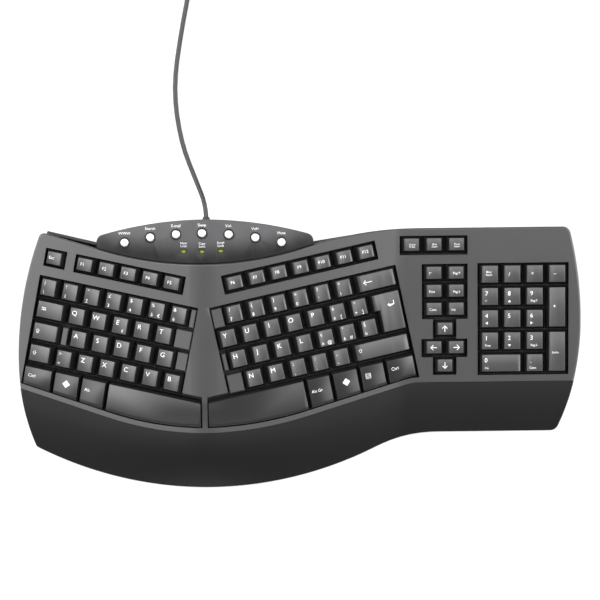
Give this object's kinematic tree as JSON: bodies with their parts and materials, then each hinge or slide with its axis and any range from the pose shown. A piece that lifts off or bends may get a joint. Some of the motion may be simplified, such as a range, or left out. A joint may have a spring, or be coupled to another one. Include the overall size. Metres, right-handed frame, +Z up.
{
  "type": "ergonomic keyboard",
  "caption": "Split, tented full-size computer keyboard with curved halves, moulded palm rest, numeric pad, rear media buttons and a coiled cord.",
  "frame": {"origin": "centre of the housing's outline seen from above, at the level its rubber feet stand on", "axes": "+X to the typist's right along the long side, +Y from the palm rest to the rear, +Z up out of the keys"},
  "size_m": [0.481, 0.4939, 0.0565],
  "materials": {
    "case_grey": "satin",
    "palm_black": "satin",
    "panel_dark": "satin",
    "base_black": "matt",
    "frame_black": "matt",
    "key_charcoal": "satin",
    "button_pearl": "pearl",
    "lens_green": "clear",
    "dome_rubber": "matt",
    "film": "clear",
    "plate_steel": "zinc plated",
    "board_film": "film",
    "board_green": "lacquered",
    "screw_steel": "zinc plated",
    "foot_rubber": "matt",
    "cord_black": "satin",
    "tie_black": "matt",
    "plug_black": "satin",
    "plug_metal": "nickel plated"
  },
  "bodies": {
    "housing": {"top_cover": "case_grey", "palm_rest": "palm_black", "media_panel": "panel_dark", "bottom_shell": "base_black", "key_frame_left": "frame_black", "key_frame_right": "frame_black", "key_frame_pad": "frame_black", "filler_caps": "frame_black", "dome_sheets": "dome_rubber", "contact_membranes": "film", "support_plates": "plate_steel", "hotkey_board": "board_film", "controller_board": "board_green", "indicator_lenses": "lens_green", "case_screws": "screw_steel", "rubber_feet": "foot_rubber", "cable_grommet": "cord_black", "usb_cable": "cord_black", "usb_cable_coil": "cord_black", "usb_cable_tail": "cord_black", "cable_tie": "tie_black", "usb_plug_body": "plug_black", "usb_plug_shell": "plug_metal"},
    "key_escape": {"key_escape": "key_charcoal"},
    "keys_function_left": {"keys_function_left": "key_charcoal"},
    "keys_number_left": {"keys_number_left": "key_charcoal"},
    "key_tab": {"key_tab": "key_charcoal"},
    "keys_top_letters_left": {"keys_top_letters_left": "key_charcoal"},
    "key_caps_lock": {"key_caps_lock": "key_charcoal"},
    "keys_home_letters_left": {"keys_home_letters_left": "key_charcoal"},
    "key_shift_left": {"key_shift_left": "key_charcoal"},
    "keys_bottom_letters_left": {"keys_bottom_letters_left": "key_charcoal"},
    "keys_function_right": {"keys_function_right": "key_charcoal"},
    "keys_number_right": {"keys_number_right": "key_charcoal"},
    "key_backspace": {"key_backspace": "key_charcoal"},
    "keys_top_letters_right": {"keys_top_letters_right": "key_charcoal"},
    "keys_home_letters_right": {"keys_home_letters_right": "key_charcoal"},
    "keys_bottom_letters_right": {"keys_bottom_letters_right": "key_charcoal"},
    "key_shift_right": {"key_shift_right": "key_charcoal"},
    "key_enter": {"key_enter": "key_charcoal"},
    "keys_system": {"keys_system": "key_charcoal"},
    "keys_navigation": {"keys_navigation": "key_charcoal"},
    "keys_arrow": {"keys_arrow": "key_charcoal"},
    "keys_numpad_top": {"keys_numpad_top": "key_charcoal"},
    "keys_numpad_789": {"keys_numpad_789": "key_charcoal"},
    "keys_numpad_456": {"keys_numpad_456": "key_charcoal"},
    "keys_numpad_123": {"keys_numpad_123": "key_charcoal"},
    "key_numpad_plus": {"key_numpad_plus": "key_charcoal"},
    "key_numpad_enter": {"key_numpad_enter": "key_charcoal"},
    "key_numpad_zero": {"key_numpad_zero": "key_charcoal"},
    "key_numpad_delete": {"key_numpad_delete": "key_charcoal"},
    "keys_modifier_left": {"keys_modifier_left": "key_charcoal"},
    "key_space_left": {"key_space_left": "key_charcoal"},
    "key_space_right": {"key_space_right": "key_charcoal"},
    "keys_modifier_right": {"keys_modifier_right": "key_charcoal"},
    "hotkey_buttons": {"hotkey_buttons": "button_pearl"},
    "tilt_foot_left": {"tilt_foot_left": "base_black"},
    "tilt_foot_right": {"tilt_foot_right": "base_black"}
  },
  "joints": [
    {"name": "key_escape_press", "type": "slide", "parent": "housing", "child": "key_escape", "axis": [0.1385, 0.0949, -0.9858], "range_m": [0, 0.0035], "stiffness_N_per_m": 100, "springref_m": -0.0015, "deforming": ["dome_sheets"]},
    {"name": "keys_function_left_press", "type": "slide", "parent": "housing", "child": "keys_function_left", "axis": [0.1385, 0.0949, -0.9858], "range_m": [0, 0.0035], "stiffness_N_per_m": 500, "springref_m": -0.0015, "deforming": ["dome_sheets"]},
    {"name": "keys_number_left_press", "type": "slide", "parent": "housing", "child": "keys_number_left", "axis": [0.1385, 0.0949, -0.9858], "range_m": [0, 0.0035], "stiffness_N_per_m": 700, "springref_m": -0.0015, "deforming": ["dome_sheets"]},
    {"name": "key_tab_press", "type": "slide", "parent": "housing", "child": "key_tab", "axis": [0.1385, 0.0949, -0.9858], "range_m": [0, 0.0035], "stiffness_N_per_m": 100, "springref_m": -0.0015, "deforming": ["dome_sheets"]},
    {"name": "keys_top_letters_left_press", "type": "slide", "parent": "housing", "child": "keys_top_letters_left", "axis": [0.1385, 0.0949, -0.9858], "range_m": [0, 0.0035], "stiffness_N_per_m": 500, "springref_m": -0.0015, "deforming": ["dome_sheets"]},
    {"name": "key_caps_lock_press", "type": "slide", "parent": "housing", "child": "key_caps_lock", "axis": [0.1385, 0.0949, -0.9858], "range_m": [0, 0.0035], "stiffness_N_per_m": 100, "springref_m": -0.0015, "deforming": ["dome_sheets"]},
    {"name": "keys_home_letters_left_press", "type": "slide", "parent": "housing", "child": "keys_home_letters_left", "axis": [0.1385, 0.0949, -0.9858], "range_m": [0, 0.0035], "stiffness_N_per_m": 500, "springref_m": -0.0015, "deforming": ["dome_sheets"]},
    {"name": "key_shift_left_press", "type": "slide", "parent": "housing", "child": "key_shift_left", "axis": [0.1385, 0.0949, -0.9858], "range_m": [0, 0.0035], "stiffness_N_per_m": 100, "springref_m": -0.0015, "deforming": ["dome_sheets"]},
    {"name": "keys_bottom_letters_left_press", "type": "slide", "parent": "housing", "child": "keys_bottom_letters_left", "axis": [0.1385, 0.0949, -0.9858], "range_m": [0, 0.0035], "stiffness_N_per_m": 600, "springref_m": -0.0015, "deforming": ["dome_sheets"]},
    {"name": "keys_function_right_press", "type": "slide", "parent": "housing", "child": "keys_function_right", "axis": [-0.1385, 0.0949, -0.9858], "range_m": [0, 0.0035], "stiffness_N_per_m": 700, "springref_m": -0.0015, "deforming": ["dome_sheets"]},
    {"name": "keys_number_right_press", "type": "slide", "parent": "housing", "child": "keys_number_right", "axis": [-0.1385, 0.0949, -0.9858], "range_m": [0, 0.0035], "stiffness_N_per_m": 600, "springref_m": -0.0015, "deforming": ["dome_sheets"]},
    {"name": "key_backspace_press", "type": "slide", "parent": "housing", "child": "key_backspace", "axis": [-0.1385, 0.0949, -0.9858], "range_m": [0, 0.0035], "stiffness_N_per_m": 100, "springref_m": -0.0015, "deforming": ["dome_sheets"]},
    {"name": "keys_top_letters_right_press", "type": "slide", "parent": "housing", "child": "keys_top_letters_right", "axis": [-0.1385, 0.0949, -0.9858], "range_m": [0, 0.0035], "stiffness_N_per_m": 700, "springref_m": -0.0015, "deforming": ["dome_sheets"]},
    {"name": "keys_home_letters_right_press", "type": "slide", "parent": "housing", "child": "keys_home_letters_right", "axis": [-0.1385, 0.0949, -0.9858], "range_m": [0, 0.0035], "stiffness_N_per_m": 700, "springref_m": -0.0015, "deforming": ["dome_sheets"]},
    {"name": "keys_bottom_letters_right_press", "type": "slide", "parent": "housing", "child": "keys_bottom_letters_right", "axis": [-0.1385, 0.0949, -0.9858], "range_m": [0, 0.0035], "stiffness_N_per_m": 500, "springref_m": -0.0015, "deforming": ["dome_sheets"]},
    {"name": "key_shift_right_press", "type": "slide", "parent": "housing", "child": "key_shift_right", "axis": [-0.1385, 0.0949, -0.9858], "range_m": [0, 0.0035], "stiffness_N_per_m": 100, "springref_m": -0.0015, "deforming": ["dome_sheets"]},
    {"name": "key_enter_press", "type": "slide", "parent": "housing", "child": "key_enter", "axis": [-0.1385, 0.0949, -0.9858], "range_m": [0, 0.0035], "stiffness_N_per_m": 100, "springref_m": -0.0015, "deforming": ["dome_sheets"]},
    {"name": "keys_system_press", "type": "slide", "parent": "housing", "child": "keys_system", "axis": [0, 0.0958, -0.9954], "range_m": [0, 0.0035], "stiffness_N_per_m": 300, "springref_m": -0.0015, "deforming": ["dome_sheets"]},
    {"name": "keys_navigation_press", "type": "slide", "parent": "housing", "child": "keys_navigation", "axis": [0, 0.0958, -0.9954], "range_m": [0, 0.0035], "stiffness_N_per_m": 600, "springref_m": -0.0015, "deforming": ["dome_sheets"]},
    {"name": "keys_arrow_press", "type": "slide", "parent": "housing", "child": "keys_arrow", "axis": [0, 0.0958, -0.9954], "range_m": [0, 0.0035], "stiffness_N_per_m": 400, "springref_m": -0.0015, "deforming": ["dome_sheets"]},
    {"name": "keys_numpad_top_press", "type": "slide", "parent": "housing", "child": "keys_numpad_top", "axis": [0, 0.0958, -0.9954], "range_m": [0, 0.0035], "stiffness_N_per_m": 400, "springref_m": -0.0015, "deforming": ["dome_sheets"]},
    {"name": "keys_numpad_789_press", "type": "slide", "parent": "housing", "child": "keys_numpad_789", "axis": [0, 0.0958, -0.9954], "range_m": [0, 0.0035], "stiffness_N_per_m": 300, "springref_m": -0.0015, "deforming": ["dome_sheets"]},
    {"name": "keys_numpad_456_press", "type": "slide", "parent": "housing", "child": "keys_numpad_456", "axis": [0, 0.0958, -0.9954], "range_m": [0, 0.0035], "stiffness_N_per_m": 300, "springref_m": -0.0015, "deforming": ["dome_sheets"]},
    {"name": "keys_numpad_123_press", "type": "slide", "parent": "housing", "child": "keys_numpad_123", "axis": [0, 0.0958, -0.9954], "range_m": [0, 0.0035], "stiffness_N_per_m": 300, "springref_m": -0.0015, "deforming": ["dome_sheets"]},
    {"name": "key_numpad_plus_press", "type": "slide", "parent": "housing", "child": "key_numpad_plus", "axis": [0, 0.0958, -0.9954], "range_m": [0, 0.0035], "stiffness_N_per_m": 100, "springref_m": -0.0015, "deforming": ["dome_sheets"]},
    {"name": "key_numpad_enter_press", "type": "slide", "parent": "housing", "child": "key_numpad_enter", "axis": [0, 0.0958, -0.9954], "range_m": [0, 0.0035], "stiffness_N_per_m": 100, "springref_m": -0.0015, "deforming": ["dome_sheets"]},
    {"name": "key_numpad_zero_press", "type": "slide", "parent": "housing", "child": "key_numpad_zero", "axis": [0, 0.0958, -0.9954], "range_m": [0, 0.0035], "stiffness_N_per_m": 100, "springref_m": -0.0015, "deforming": ["dome_sheets"]},
    {"name": "key_numpad_delete_press", "type": "slide", "parent": "housing", "child": "key_numpad_delete", "axis": [0, 0.0958, -0.9954], "range_m": [0, 0.0035], "stiffness_N_per_m": 100, "springref_m": -0.0015, "deforming": ["dome_sheets"]},
    {"name": "keys_modifier_left_press", "type": "slide", "parent": "housing", "child": "keys_modifier_left", "axis": [0.1385, 0.0949, -0.9858], "range_m": [0, 0.0035], "stiffness_N_per_m": 300, "springref_m": -0.0015, "deforming": ["dome_sheets"]},
    {"name": "key_space_left_press", "type": "slide", "parent": "housing", "child": "key_space_left", "axis": [0.1385, 0.0949, -0.9858], "range_m": [0, 0.0035], "stiffness_N_per_m": 100, "springref_m": -0.0015, "deforming": ["dome_sheets"]},
    {"name": "key_space_right_press", "type": "slide", "parent": "housing", "child": "key_space_right", "axis": [-0.1385, 0.0949, -0.9858], "range_m": [0, 0.0035], "stiffness_N_per_m": 100, "springref_m": -0.0015, "deforming": ["dome_sheets"]},
    {"name": "keys_modifier_right_press", "type": "slide", "parent": "housing", "child": "keys_modifier_right", "axis": [-0.1385, 0.0949, -0.9858], "range_m": [0, 0.0035], "stiffness_N_per_m": 400, "springref_m": -0.0015, "deforming": ["dome_sheets"]},
    {"name": "hotkey_press", "type": "slide", "parent": "housing", "child": "hotkey_buttons", "axis": [0, 0.0958, -0.9954], "range_m": [0, 0.0007], "stiffness_N_per_m": 3000, "springref_m": -0.0003},
    {"name": "tilt_foot_left_hinge", "type": "hinge", "parent": "housing", "child": "tilt_foot_left", "pos_m": [-0.196, 0.076, 0.0039], "axis": [1, 0, 0], "range_deg": [0, 90]},
    {"name": "tilt_foot_right_hinge", "type": "hinge", "parent": "housing", "child": "tilt_foot_right", "pos_m": [0.196, 0.076, 0.0039], "axis": [1, 0, 0], "range_deg": [0, 90]}
  ]
}
